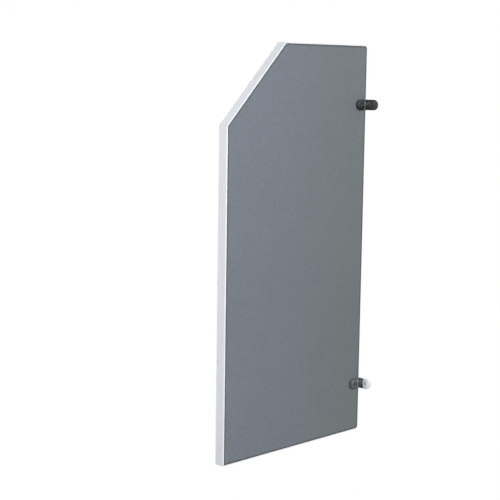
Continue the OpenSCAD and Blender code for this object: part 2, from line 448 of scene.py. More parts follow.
def bend_section():
    """The strip's closed cross-section as (v, h) pairs: the crowned face, a rim, the back, a rim."""
    rim = rim_profile()[1:-1]
    half, half_back = HALF_W - RIM_INSET, HALF_W - BACK_EASE
    across = arc(CROSS_STEPS, -1, 1)
    loop = [(half * f, strip_height(0, half * f)) for f in across]
    loop += [(HALF_W - inset, height) for inset, height in rim]
    loop += [(-half_back * f, 0.0) for f in across]
    return loop + [(inset - HALF_W, height) for inset, height in reversed(rim)]


def add_bend(shape):
    """The quarter turn between the legs, swept from one to the other."""
    loop, rows = bend_section(), []
    for turn in arc(BEND_STEPS, 0, 1):
        points = [in_bend(turn, v, h) for v, h in loop]
        rows.append(shape.row(points, [(BEND_START * (1 - 2 * turn), v, h) for v, h in loop]))
    for first, second in zip(rows, rows[1:]):
        quads_between(shape.bm, first, second, closed=True)


def build_bracket(name, material):
    shape = StripMesh(middle_height(name))
    add_leg(shape, on_wall, 1)
    add_leg(shape, on_board, -1)
    add_bend(shape)
    finish_mesh(shape.bm)
    new_piece(name, mesh_of(shape.bm, name), material)


# ---- Node trees ----------------------------------------------------------------------------------


def add(tree, kind, inputs=(), **settings):
    """A node of that kind. inputs maps a socket's name or number to a value or a node's output."""
    made = tree.nodes.new(kind)
    for key, value in settings.items():
        setattr(made, key, value)
    for key, value in dict(inputs).items():
        if isinstance(value, bpy.types.NodeSocket):
            tree.links.new(value, made.inputs[key])
        else:
            made.inputs[key].default_value = value
    return made


def maths(tree, operation, *values, clamp=False):
    """The output of a Math node on those values or outputs."""
    return add(tree, "ShaderNodeMath", enumerate(values), operation=operation, use_clamp=clamp).outputs[0]


def plus(tree, first, second):
    return maths(tree, "ADD", first, second)


def minus(tree, first, second):
    return maths(tree, "SUBTRACT", first, second)


def product(tree, *values):
    total = values[0]
    for value in values[1:]:
        total = maths(tree, "MULTIPLY", total, value)
    return total


def vector_of(tree, x=0.0, y=0.0, z=0.0):
    return add(tree, "ShaderNodeCombineXYZ", {0: x, 1: y, 2: z}).outputs[0]


def parts_of(tree, vector):
    """The X, Y and Z of a vector."""
    return add(tree, "ShaderNodeSeparateXYZ", {0: vector}).outputs


def new_socket(tree, name, kind, in_out="INPUT"):
    return tree.interface.new_socket(name=name, in_out=in_out, socket_type="NodeSocket" + kind)


def end_with(tree, kind, value):
    """Ends a tree in an output node of that kind."""
    tree.links.new(value, tree.nodes.new(kind).inputs[0])


def geometry_tree(name, sizes):
    """A geometry tree with a named input for each size and for the material."""
    tree = bpy.data.node_groups.new(name, "GeometryNodeTree")
    new_socket(tree, "Geometry", "Geometry", "OUTPUT")
    for size in sizes:
        new_socket(tree, size, "Float")
    new_socket(tree, "Finish", "Material")
    return tree, tree.nodes.new("NodeGroupInput").outputs


def end_geometry(tree, geometry, finish):
    """Realizes the instances, sets the material and ends the tree."""
    real = add(tree, "GeometryNodeRealizeInstances", {0: geometry}).outputs[0]
    done = add(tree, "GeometryNodeSetMaterial", {"Geometry": real, "Material": finish}).outputs[0]
    end_with(tree, "NodeGroupOutput", done)


def moved(tree, geometry, x=0.0, y=0.0, z=0.0, turn=(0, 0, 0)):
    """That geometry, turned and then moved."""
    inputs = {"Geometry": geometry, "Translation": vector_of(tree, x, y, z), "Rotation": turn}
    return add(tree, "GeometryNodeTransform", inputs).outputs[0]


def joined(tree, *parts):
    made = tree.nodes.new("GeometryNodeJoinGeometry")
    for part in parts:
        tree.links.new(part, made.inputs[0])
    return made.outputs[0]


def disc(tree, z, radius):
    inputs = {"Vertices": TURNED_SIDES, "Radius": radius}
    circle = add(tree, "GeometryNodeMeshCircle", inputs, fill_type="NGON")
    return moved(tree, circle.outputs[0], z=z)


def collar(tree, z, bottom_r, top_r, height, fill="NONE"):
    """A cone's side from z up to z + height, open at both ends unless it is filled."""
    inputs = {"Vertices": TURNED_SIDES, "Radius Top": top_r, "Radius Bottom": bottom_r, "Depth": height}
    cone = add(tree, "GeometryNodeMeshCone", inputs, fill_type=fill)
    return moved(tree, cone.outputs["Mesh"], z=z)


def sealed(tree, *parts):
    """Those open shapes joined into one closed shape."""
    merge = {"Geometry": joined(tree, *parts), "Distance": 0.001 * MM}
    return add(tree, "GeometryNodeMergeByDistance", merge).outputs[0]


def cut_by(tree, shape, *cutters, operation="DIFFERENCE"):
    """The shape with the cutters taken out, or the union or overlap of them all.

    A union or an overlap takes all its shapes at one socket, and drops one that is at the other.
    """
    made = add(tree, "GeometryNodeMeshBoolean", operation=operation, solver="EXACT")
    tree.links.new(shape, made.inputs[0 if operation == "DIFFERENCE" else 1])
    for cutter in cutters:
        tree.links.new(cutter, made.inputs[1])
    return made.outputs["Mesh"]


# Shares of a screw's own sizes: how much of its head's height is eased, how far its recess's shapes
# stand past the recess, how far out the ridge's foot sits in the core, and the ridge on the tip.
HEAD_EASE, OVER_RISE, BLADE_RISE, RIDGE_SEAT = 0.06, 1.5, 4.0, 0.97
TIP_RIDGE_L, TIP_RIDGE_R, TIP_RIDGE_SIZE = 0.90, 0.1, 0.25


def screw_tree():
    """A countersunk screw with its head's top at Z = 0 and its point down."""
    tree, size = geometry_tree("countersunk screw", ("Length", *SCREW))
    core, thread, head = size["Core Radius"], size["Thread Radius"], size["Head Radius"]
    head_h, pitch, tip_l = size["Head Height"], size["Thread Pitch"], size["Tip Length"]
    recess_r, recess_w, recess_h = size["Recess Radius"], size["Recess Width"], size["Recess Depth"]
    minus_head = product(tree, head_h, -1.0)
    neck_z = minus(tree, minus_head, pitch)
    tip_z = product(tree, size["Length"], -1.0)
    shank_z = minus(tree, tip_l, size["Length"])
    shank_l = minus(tree, neck_z, shank_z)
    ease = product(tree, head_h, HEAD_EASE)
    lip_r = minus(tree, head, ease)
    body = sealed(
        tree,
        collar(tree, tip_z, 0.0, core, tip_l),
        collar(tree, shank_z, core, core, shank_l),
        collar(tree, neck_z, core, thread, pitch),
        collar(tree, minus_head, thread, head, minus(tree, head_h, ease)),
        collar(tree, product(tree, ease, -1.0), head, lip_r, ease),
        disc(tree, 0.0, lip_r),
    )

    blade = vector_of(tree, product(tree, recess_r, BLADE_RISE), recess_w,
                      product(tree, recess_h, BLADE_RISE))
    flat_blade = add(tree, "GeometryNodeMeshCube", {"Size": blade}).outputs["Mesh"]
    cross_blade = moved(tree, flat_blade, turn=(0, 0, math.pi / 2))
    cross = cut_by(tree, flat_blade, cross_blade, operation="UNION")
    foot_r = product(tree, recess_w, 0.5)
    over_r = plus(tree, foot_r, product(tree, minus(tree, recess_r, foot_r), OVER_RISE))
    over_h = product(tree, recess_h, OVER_RISE)
    funnel = collar(tree, product(tree, recess_h, -1.0), foot_r, over_r, over_h, fill="NGON")
    body = cut_by(tree, body, cut_by(tree, cross, funnel, operation="INTERSECT"))

    # Known fault: the ridge's crest points at the axis, so the core hides it and the shank is smooth.
    depth = minus(tree, thread, core)
    ridge = add(tree, "GeometryNodeCurvePrimitiveQuadrilateral", {
        "Bottom Width": size["Ridge Width"], "Top Width": size["Ridge Crest"], "Height": depth,
        "Offset": 0.0,
    }, mode="TRAPEZOID").outputs[0]
    ridge = moved(tree, ridge, x=product(tree, depth, 0.5), turn=(0, 0, -math.pi / 2))

    def helix(z, height, start_r, end_r):
        spiral = add(tree, "GeometryNodeCurveSpiral", {
            "Resolution": HELIX_STEPS, "Rotations": maths(tree, "DIVIDE", height, pitch),
            "Start Radius": start_r, "End Radius": end_r, "Height": height,
        }).outputs[0]
        upright = add(tree, "GeometryNodeSetCurveNormal", {"Curve": spiral}, mode="Z_UP").outputs[0]
        return moved(tree, upright, z=z)

    def ridge_along(curve, start, end):
        """The ridge, whose size runs from start to end along the curve."""
        along = add(tree, "GeometryNodeSplineParameter").outputs["Factor"]
        scale = add(tree, "ShaderNodeMapRange", {"Value": along, "To Min": start, "To Max": end}).outputs[0]
        sized = add(tree, "GeometryNodeSetCurveRadius", {"Curve": curve, "Radius": scale}).outputs[0]
        inputs = {"Curve": sized, "Profile Curve": ridge, "Fill Caps": True}
        return add(tree, "GeometryNodeCurveToMesh", inputs).outputs[0]

    seat = product(tree, core, RIDGE_SEAT)
    main = ridge_along(helix(shank_z, shank_l, seat, seat), 1.0, 1.0)
    on_tip_l = product(tree, tip_l, TIP_RIDGE_L)
    tip_curve = helix(minus(tree, shank_z, on_tip_l), on_tip_l, product(tree, core, TIP_RIDGE_R), seat)
    tip = ridge_along(tip_curve, TIP_RIDGE_SIZE, 1.0)
    end_geometry(tree, joined(tree, body, main, tip), size["Finish"])
    return tree


# Shares of a barb's pitch: its short steps and its long slope. Of its depth: how far the mouth is eased.
BARB_STEP, BARB_SLOPE, MOUTH_EASE = 0.125, 0.75, 0.35


def plug_tree():
    """A wall plug with its mouth at Z = 0 and its nose up."""
    tree, size = geometry_tree("wall plug", PLUG)
    outer, bore, pitch = size["Outer Radius"], size["Bore Radius"], size["Barb Pitch"]
    length, neck_l, nose_l = size["Length"], size["Neck Length"], size["Nose Length"]
    waist = minus(tree, outer, size["Barb Depth"])
    nose_z = minus(tree, length, nose_l)
    barbed = maths(tree, "DIVIDE", minus(tree, nose_z, neck_l), pitch)
    barbs = maths(tree, "FLOOR", plus(tree, barbed, 0.001))
    rest_z = plus(tree, neck_l, product(tree, barbs, pitch))
    nose_r = product(tree, plus(tree, outer, bore), 0.5)
    step, slope = product(tree, pitch, BARB_STEP), product(tree, pitch, BARB_SLOPE)
    barb = joined(
        tree,
        collar(tree, 0.0, outer, waist, step),
        collar(tree, step, waist, outer, slope),
        collar(tree, plus(tree, step, slope), outer, outer, step),
    )
    line = add(tree, "GeometryNodeMeshLine", {
        "Count": barbs, "Start Location": vector_of(tree, z=neck_l), "Offset": vector_of(tree, z=pitch)})
    row = add(tree, "GeometryNodeInstanceOnPoints", {"Points": line.outputs[0], "Instance": barb}).outputs[0]
    row = add(tree, "GeometryNodeRealizeInstances", {0: row}).outputs[0]
    ease = product(tree, size["Barb Depth"], MOUTH_EASE)
    mouth_r = minus(tree, outer, ease)
    body = sealed(
        tree,
        disc(tree, 0.0, mouth_r),
        collar(tree, 0.0, mouth_r, outer, ease),
        collar(tree, ease, outer, outer, minus(tree, neck_l, ease)),
        row,
        collar(tree, rest_z, outer, outer, minus(tree, nose_z, rest_z)),
        collar(tree, nose_z, outer, nose_r, nose_l),
        disc(tree, length, nose_r),
    )
    hollow = add(tree, "GeometryNodeMeshCylinder", {
        "Vertices": TURNED_SIDES, "Radius": bore, "Depth": product(tree, length, 3.0)}).outputs["Mesh"]
    blade = vector_of(tree, product(tree, outer, 4.0), size["Slot Width"], length)
    slot = add(tree, "GeometryNodeMeshCube", {"Size": blade}).outputs["Mesh"]
    slot = moved(tree, slot, z=maths(tree, "MULTIPLY_ADD", length, 0.5, neck_l))
    end_geometry(tree, cut_by(tree, body, hollow, slot), size["Finish"])
    return tree


def build_turned(name, tree, values, up, start, material):
    """A round piece made by a geometry tree, with its own Z along up and its Z = 0 at start.

    Its vertices keep where they were before the turn, as own, for a finish that goes round it.
    """
    def fill_in(modifier):
        modifier.node_group = tree
        for item in tree.interface.items_tree:
            if item.in_out == "INPUT":
                modifier[item.identifier] = material if item.name == "Finish" else values[item.name]

    mesh = made_by_modifier(bpy.data.meshes.new(name), "NODES", fill_in)
    bm = bmesh.new()
    bm.from_mesh(mesh)
    own = bm.verts.layers.float_vector.new("own")
    for vert in bm.verts:
        vert[own] = vert.co
    bm.transform(Matrix.Translation(start) @ Vector((0, 0, 1)).rotation_difference(up).to_matrix().to_4x4())
    finish_mesh(bm)
    bm.to_mesh(mesh)
    bm.free()
    new_piece(name, mesh, material)


def build_screw(name, tree, out, material):
    """A screw whose head faces out."""
    lo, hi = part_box(name)
    length = max(hi - lo)
    start = (lo + hi) / 2 + out * length / 2
    build_turned(name, tree, SCREW | {"Length": length}, out, start, material)


def build_plug(name, tree, material):
    """A plug whose mouth is in the wall's plane and whose nose points into the wall."""
    lo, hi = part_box(name)
    mouth = Vector(((lo.x + hi.x) / 2, lo.y, middle_height(name)))
    build_turned(name, tree, PLUG, Vector((0, 1, 0)), mouth, material)


# ---- Effects that the finishes share -------------------------------------------------------------


def blank_tree(owner):
    """The node tree of a material or a world, with nothing in it yet."""
    owner.use_nodes = True
    owner.node_tree.nodes.clear()
    return owner.node_tree


def new_material(name, **constants):
    material = bpy.data.materials.new(name)
    tree = blank_tree(material)
    shader = add(tree, "ShaderNodeBsdfPrincipled", constants)
    end_with(tree, "ShaderNodeOutputMaterial", shader.outputs[0])
    return material, tree, shader


def effect(name, **defaults):
    """A node group that takes a Vector and those numbers, and gives one Value."""
    group = bpy.data.node_groups.new(name, "ShaderNodeTree")
    new_socket(group, "Vector", "Vector")
    for key, default in defaults.items():
        new_socket(group, key, "Float").default_value = default
    new_socket(group, "Value", "Float", "OUTPUT")
    return group, group.nodes.new("NodeGroupInput").outputs


def end_effect(group, value):
    end_with(group, "NodeGroupOutput", value)
    return group


def noise_of(tree, vector, scale, detail=2.0, roughness=0.5):
    inputs = {"Vector": vector, "Scale": scale, "Detail": detail, "Roughness": roughness}
    return add(tree, "ShaderNodeTexNoise", inputs).outputs["Fac"]


def cells_of(tree, vector, scale, **settings):
    return add(tree, "ShaderNodeTexVoronoi", {"Vector": vector, "Scale": scale}, **settings).outputs


def ramp(tree, value, start, end, low=0.0, high=1.0):
    """low up to start, high from end on, and a smooth slope between them."""
    inputs = {"Value": value, "From Min": start, "From Max": end, "To Min": low, "To Max": high}
    return add(tree, "ShaderNodeMapRange", inputs, interpolation_type="SMOOTHSTEP").outputs[0]


def swung(group, noise, amount):
    """1, more or less by that amount where the noise is strong or weak."""
    swing = product(group, minus(group, noise, 0.5), 4.0)
    return maths(group, "MULTIPLY_ADD", swing, amount, 1.0)


def cloudy_effect():
    """Soft clouds: 1, more or less by Amount."""
    group, given = effect("cloudy", Scale=10.0, Detail=2.0, Amount=0.05)
    cloud = noise_of(group, given["Vector"], given["Scale"], given["Detail"])
    return end_effect(group, swung(group, cloud, given["Amount"]))


def streaky_effect():
    """Streaks along the vector's X: 1, more or less by Amount."""
    group, given = effect("streaky", Along=5.0, Across=1000.0, Amount=0.05)
    stretch = (given["Along"], given["Across"], given["Across"])
    axes = parts_of(group, given["Vector"])
    stretched = vector_of(group, *[product(group, a, s) for a, s in zip(axes, stretch)])
    return end_effect(group, swung(group, noise_of(group, stretched, 1.0, 3.0, 0.6), given["Amount"]))


def flecked_effect():
    """Small chips over a Share of the surface, each from -1, dark, to 1, light. The rest is 0."""
    group, given = effect("flecked", Scale=500.0, Share=0.3)
    cells = cells_of(group, given["Vector"], given["Scale"])
    draws = add(group, "ShaderNodeSeparateColor", {0: cells["Color"]}).outputs
    chosen = maths(group, "LESS_THAN", draws[0], given["Share"])
    tone = maths(group, "MULTIPLY_ADD", draws[1], 2.0, -1.0)
    heart = ramp(group, cells["Distance"], 0.25, 0.6, 1.0, 0.0)
    return end_effect(group, product(group, tone, chosen, heart))


def pebbled_effect():
    """The height of a fine pebbled skin, from 0 to 1."""
    group, given = effect("pebbled", Scale=1000.0)
    cells = cells_of(group, given["Vector"], given["Scale"], feature="SMOOTH_F1")
    fine = noise_of(group, given["Vector"], given["Scale"], 3.0, 0.6)
    return end_effect(group, maths(group, "MULTIPLY_ADD", cells["Distance"], -0.6, fine))


def grimy_effect():
    """Dirt that is thick at a Distance of 0 and ends unevenly at Reach, from 0 to 1."""
    group, given = effect("grimy", Distance=0.0, Reach=0.001, Scale=300.0)
    share = maths(group, "DIVIDE", given["Distance"], given["Reach"])
    near = ramp(group, share, 0.0, 1.0, 1.0, 0.0)
    uneven = ramp(group, noise_of(group, given["Vector"], given["Scale"], 3.0), 0.25, 0.75, 0.45, 1.25)
    return end_effect(group, maths(group, "MULTIPLY", near, uneven, clamp=True))


def scratched_effect():
    """Hairlines near the vector's X, in patches, from 0 to 1."""
    group, given = effect("scratched", Scale=40.0, Width=0.01, Share=0.4)
    total = None
    for tilt in (0.35, -0.5, 1.3):
        turned = add(group, "ShaderNodeVectorRotate", {"Vector": given["Vector"], "Angle": tilt},
                     rotation_type="Z_AXIS").outputs[0]
        drawn = add(group, "ShaderNodeMapping", {"Vector": turned, "Scale": (0.1, 1.0, 1.0)}).outputs[0]
        wave = minus(group, noise_of(group, drawn, given["Scale"], 1.0), 0.5)
        line = maths(group, "LESS_THAN", maths(group, "ABSOLUTE", wave), given["Width"])
        patch = noise_of(group, turned, product(group, given["Scale"], 0.35))
        line = product(group, line, maths(group, "LESS_THAN", patch, given["Share"]))
        total = maths(group, "MAXIMUM", total, line) if total else line
    return end_effect(group, total)


def dusty_effect():
    """Dust on what faces up, from 0 to Amount."""
    group, given = effect("dusty", Scale=200.0, Amount=0.3)
    normal = group.nodes.new("ShaderNodeNewGeometry").outputs["Normal"]
    facing_up = ramp(group, parts_of(group, normal)[2], 0.35, 0.95)
    uneven = ramp(group, noise_of(group, given["Vector"], given["Scale"], 3.0), 0.3, 0.7, 0.4, 1.0)
    return end_effect(group, product(group, facing_up, uneven, given["Amount"]))


CLOUDY, STREAKY, FLECKED, PEBBLED = cloudy_effect(), streaky_effect(), flecked_effect(), pebbled_effect()
GRIMY, SCRATCHED, DUSTY = grimy_effect(), scratched_effect(), dusty_effect()


def use(tree, group, vector, **values):
    """The value that an effect gives over the surface."""
    return add(tree, "ShaderNodeGroup", values | {"Vector": vector}, node_tree=group).outputs[0]


def clouds(tree, place, *layers):
    """Clouds of several sizes over each other, each layer as (scale, detail, amount)."""
    return product(tree, *[use(tree, CLOUDY, place, Scale=s, Detail=d, Amount=a) for s, d, a in layers])


def less(tree, mask, amount):
    """1 where the mask is 0, falling to 1 - amount where it is 1. It rises for a negative amount."""
    return maths(tree, "MULTIPLY_ADD", mask, -amount, 1.0)


def blend(tree, factor, first, second, mode="MIX"):
    inputs = {0: factor, 6: first, 7: second}
    return add(tree, "ShaderNodeMix", inputs, data_type="RGBA", blend_type=mode).outputs[2]


def shaded(tree, colour, *shades):
    """The colour, multiplied by those shades."""
    return blend(tree, 1.0, colour, product(tree, *shades), "MULTIPLY")


def coat_surface(tree, shader, colour, roughness, height, depth):
    """Gives the shader its colour, its roughness and its relief, depth metres deep."""
    relief = add(tree, "ShaderNodeBump", {"Height": height, "Distance": depth, "Strength": 1.0})
    for key, value in (("Base Color", colour), ("Roughness", roughness), ("Normal", relief.outputs[0])):
        tree.links.new(value, shader.inputs[key])


def object_place(tree):
    return tree.nodes.new("ShaderNodeTexCoord").outputs["Object"]


def attribute(tree, name, output="Vector"):
    return add(tree, "ShaderNodeAttribute", attribute_name=name).outputs[output]


def outline_distance(tree, place):
    """How far a place on the board's face lies inside the board's outline."""
    _, y, z = parts_of(tree, place)
    nearest = None
    for edge, start in enumerate(OUTLINE):
        way_in = inward(edge)
        inside = maths(tree, "MULTIPLY_ADD", y, way_in.x, product(tree, z, way_in.y))
        inside = minus(tree, inside, start.dot(way_in))
        nearest = maths(tree, "MINIMUM", nearest, inside) if nearest else inside
    return nearest


# ---- Finishes ------------------------------------------------------------------------------------

# The laminate's two colours are painted light: a bluer lit tint at the front, and a greener, darker painted
# shade by the wall.
LAMINATE_FRONT_LIT, LAMINATE_WALL_SHADED = (0.188, 0.214, 0.247, 1), (0.188, 0.209, 0.221, 1)
# The second band colour is a painted highlight, whiter, along each long edge beside a face.
BAND_WHITE, BAND_EDGE_HIGHLIGHT = (0.835, 0.864, 0.908, 1), (0.960, 0.965, 0.975, 1)
CHIP_DARK, CHIP_PALE = (0.36, 0.23, 0.11, 1), (0.58, 0.42, 0.24, 1)
SCREW_PLATED, SCREW_WORN = (0.130, 0.138, 0.145, 1), (0.290, 0.295, 0.300, 1)
NYLON_GREY = (0.3915725, 0.4125426, 0.4178851, 1)
GRIME_BROWN = (0.14, 0.13, 0.115, 1)
DUST_GREY = (0.38, 0.40, 0.42, 1)
# Limescale's white, also used for painted highlights, and the solid white of the painted glare on a wall
# leg's end.
LIME_AND_HIGHLIGHT_WHITE, GLARE_WHITE = (0.83, 0.85, 0.865, 1), (0.97, 0.975, 0.98, 1)

# Where the painted light and shade turn across the face.
LIGHT_DRIFT_FROM, LIGHT_DRIFT_TO = -0.16, 0.06            # across the face, where its tone turns
SHEET_GRIME_REACH = 5.5 * MM                  # how far grime goes in from a sheet's edge
JOINT_REACH, FOOT_REACH = 0.3 * MM, 160 * MM  # how far grime goes from a band's joints, and how far up from its foot the band darkens
# Where the painted highlight lies across a band, in X.
BAND_HIGHLIGHT_FROM, BAND_HIGHLIGHT_TO = FACE_X - 2.9 * MM, FACE_X - 1.6 * MM
SKIN_DEPTH, CHIP_DEPTH, BRUSH_DEPTH, RING_DEPTH = 0.03 * MM, 0.15 * MM, 0.012 * MM, 0.01 * MM

# Along a bracket's strip, from its bend: where one leg's colour, painted for its light, turns into the
# other's, where a painted highlight runs as a pale line beside the bend, and where a painted highlight and
# its white glare start on the wall leg.
LEG_FROM, LEG_TO = 6 * MM, 12 * MM
FOLD_HIGHLIGHT_AT, FOLD_HIGHLIGHT_STRENGTH = 7.2 * MM, 0.74
END_HIGHLIGHT_FROM, END_HIGHLIGHT_TO, HIGHLIGHT_WANDER = LEG_L - 20 * MM, LEG_L - 17 * MM, 3.0 * MM
GLARE_FROM, GLARE_TO, GLARE_WANDER, GLARE_STRENGTH = LEG_L - 7.5 * MM, LEG_L - 2.0 * MM, 14 * MM, 1.14


def laminate_finish():
    """Grey laminate: flecks, clouds, painted light that turns from a bluer lit tint to a greener painted
    shade by the wall, a suede skin, wipe marks and grimy edges.
    """
    material, tree, shader = new_material("grey_laminate")
    place = object_place(tree)
    flecks = use(tree, FLECKED, place, Scale=620.0, Share=0.45)
    _, y, z = parts_of(tree, place)
    # Painted light and shade: the colour turns from the lit front to the shaded side by the wall.
    light_drift = ramp(tree, maths(tree, "MULTIPLY_ADD", noise_of(tree, place, 5.0), 0.24, y), LIGHT_DRIFT_FROM, LIGHT_DRIFT_TO)
    upright = vector_of(tree, z, y)
    hairlines = use(tree, SCRATCHED, upright, Scale=60.0, Width=0.004, Share=0.36)
    wiped = use(tree, STREAKY, upright, Along=4.0, Across=45.0, Amount=0.05)
    to_band = minus(tree, outline_distance(tree, place), BAND_T)
    grime = use(tree, GRIMY, place, Distance=to_band, Reach=SHEET_GRIME_REACH, Scale=260.0)
    colour = shaded(
        tree, blend(tree, light_drift, LAMINATE_FRONT_LIT, LAMINATE_WALL_SHADED), less(tree, flecks, -0.10),
        clouds(tree, place, (5.0, 3.0, 0.02), (110.0, 2.0, 0.065), (240.0, 2.0, 0.06), (900.0, 2.0, 0.05)),
        less(tree, grime, 0.74),
    )
    roughness = product(tree, 0.5, wiped, less(tree, hairlines, 0.2))
    height = maths(tree, "MULTIPLY_ADD", hairlines, -0.5, use(tree, PEBBLED, place, Scale=1300.0))
    coat_surface(tree, shader, colour, roughness, height, SKIN_DEPTH)
    return material


def band_finish():
    """White edge band: drawn lines, a painted highlight with more gloss along the long edges, rubs, dust,
    grimy joints and a foot that turns darker and browner.
    """
    material, tree, shader = new_material("pale_edge_band")
    place, way = object_place(tree), attribute(tree, "way")
    _, across, depth = parts_of(tree, way)
    # Painted highlight: the long edges beside the faces are drawn whiter, and glossier.
    edge_highlight = ramp(tree, maths(tree, "ABSOLUTE", across), BAND_HIGHLIGHT_FROM, BAND_HIGHLIGHT_TO)
    drawn = use(tree, STREAKY, way, Along=6.0, Across=1400.0, Amount=0.015)
    to_start, to_end, _ = parts_of(tree, attribute(tree, "ends"))
    to_joint = maths(tree, "MINIMUM", minus(tree, BAND_T, depth), maths(tree, "MINIMUM", to_start, to_end))
    glue = use(tree, GRIMY, place, Distance=to_joint, Reach=JOINT_REACH, Scale=900.0)
    # The band turns darker and browner towards its foot.
    above_foot = minus(tree, parts_of(tree, place)[2], OUTLINE[BOTTOM].y)
    foot = use(tree, GRIMY, place, Distance=above_foot, Reach=FOOT_REACH, Scale=40.0)
    rubs = use(tree, SCRATCHED, way, Scale=70.0, Width=0.0032, Share=0.42)
    dust = use(tree, DUSTY, place, Scale=180.0, Amount=0.10)
    colour = shaded(
        tree, blend(tree, edge_highlight, BAND_WHITE, BAND_EDGE_HIGHLIGHT), drawn,
        clouds(tree, place, (9.0, 3.0, 0.012), (320.0, 2.0, 0.012)), less(tree, rubs, 0.13),
    )
    colour = blend(tree, product(tree, glue, 0.55), colour, GRIME_BROWN)
    colour = blend(tree, product(tree, foot, 0.07), colour, GRIME_BROWN)
    colour = blend(tree, dust, colour, DUST_GREY)
    roughness = product(
        tree, ramp(tree, edge_highlight, 0.0, 1.0, 0.40, 0.32), clouds(tree, place, (60.0, 2.0, 0.08)),
        less(tree, dust, -1.5),
    )
    height = product(tree, use(tree, PEBBLED, place, Scale=520.0), drawn, drawn)
    coat_surface(tree, shader, colour, roughness, height, SKIN_DEPTH)
    return material


def particle_board_finish():
    """Pressed chips of several tones, with fibres along them."""
    material, tree, shader = new_material("raw_particle_board", Roughness=0.85)
    place = object_place(tree)
    long_chips = add(tree, "ShaderNodeMapping", {"Vector": place, "Scale": (2.4, 1.0, 0.55)}).outputs[0]
    cells = cells_of(tree, long_chips, 260.0)
    draw = add(tree, "ShaderNodeSeparateColor", {0: cells["Color"]}).outputs[0]
    fibres = use(tree, STREAKY, long_chips, Along=300.0, Across=1900.0, Amount=0.10)
    gaps = ramp(tree, cells["Distance"], 0.45, 0.9, 1.0, 0.55)
    colour = shaded(
        tree, blend(tree, draw, CHIP_DARK, CHIP_PALE), fibres, gaps, clouds(tree, place, (30.0, 2.0, 0.06)))
    roughness = product(tree, 0.82, clouds(tree, place, (200.0, 2.0, 0.06)))
    coat_surface(tree, shader, colour, roughness, product(tree, gaps, draw), CHIP_DEPTH)
    return material


